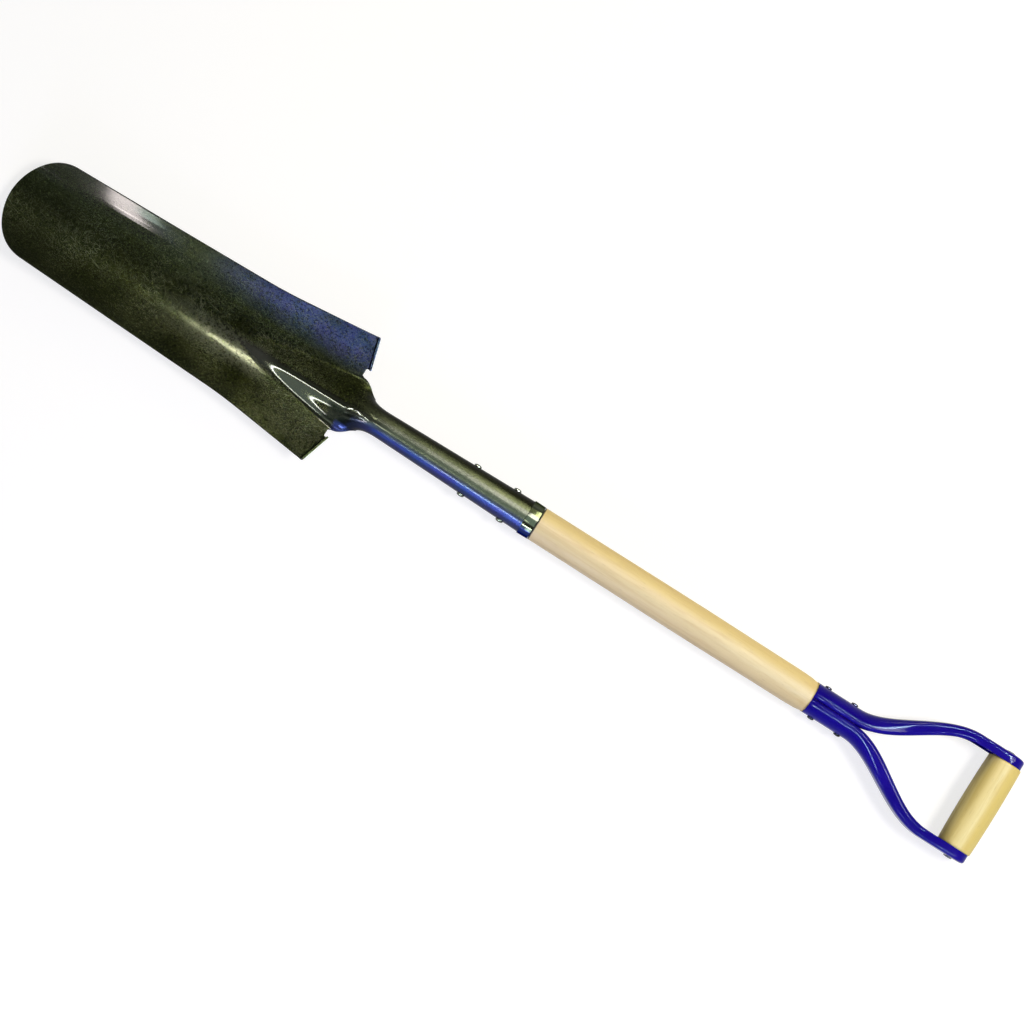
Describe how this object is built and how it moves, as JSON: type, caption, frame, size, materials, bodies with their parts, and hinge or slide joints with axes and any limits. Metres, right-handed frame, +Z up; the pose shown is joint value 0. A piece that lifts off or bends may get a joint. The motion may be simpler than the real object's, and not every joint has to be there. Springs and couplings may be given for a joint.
{
  "type": "drain spade",
  "caption": "Round-tipped drain spade: long dished steel blade with foot steps and riveted socket, ash shaft, and a D-grip of blue stamped steel arms round a wooden cross grip.",
  "frame": {"origin": "on the ground under the middle of the spade's length and width, with the spade lying on its back", "axes": "+X along the shaft from the blade's tip towards the grip, +Y to the left across the blade, +Z up out of the blade's dished front"},
  "size_m": [1.2039, 0.1504, 0.0388],
  "materials": {
    "blade_steel": "rolled steel under a thin dark green-brown lacquer, finely speckled and scratched",
    "collar_steel": "bright pressed steel",
    "rivet_steel": "bright steel, domed heads",
    "shaft_ash": "pale ash, sanded and clear lacquered",
    "grip_wood": "turned pale hardwood under a yellower lacquer",
    "yoke_paint": "deep blue gloss paint over stamped steel",
    "painted_rivet": "steel rivet heads painted over in dark blue"
  },
  "bodies": {
    "root": {"blade": "blade_steel", "socket_collar": "collar_steel", "shaft": "shaft_ash", "socket_rivet_lower": "rivet_steel", "socket_rivet_upper": "rivet_steel", "yoke_left": "yoke_paint", "yoke_right": "yoke_paint", "yoke_rivet_lower": "painted_rivet", "yoke_rivet_upper": "painted_rivet", "grip": "grip_wood", "grip_rivet": "painted_rivet"}
  },
  "joints": []
}
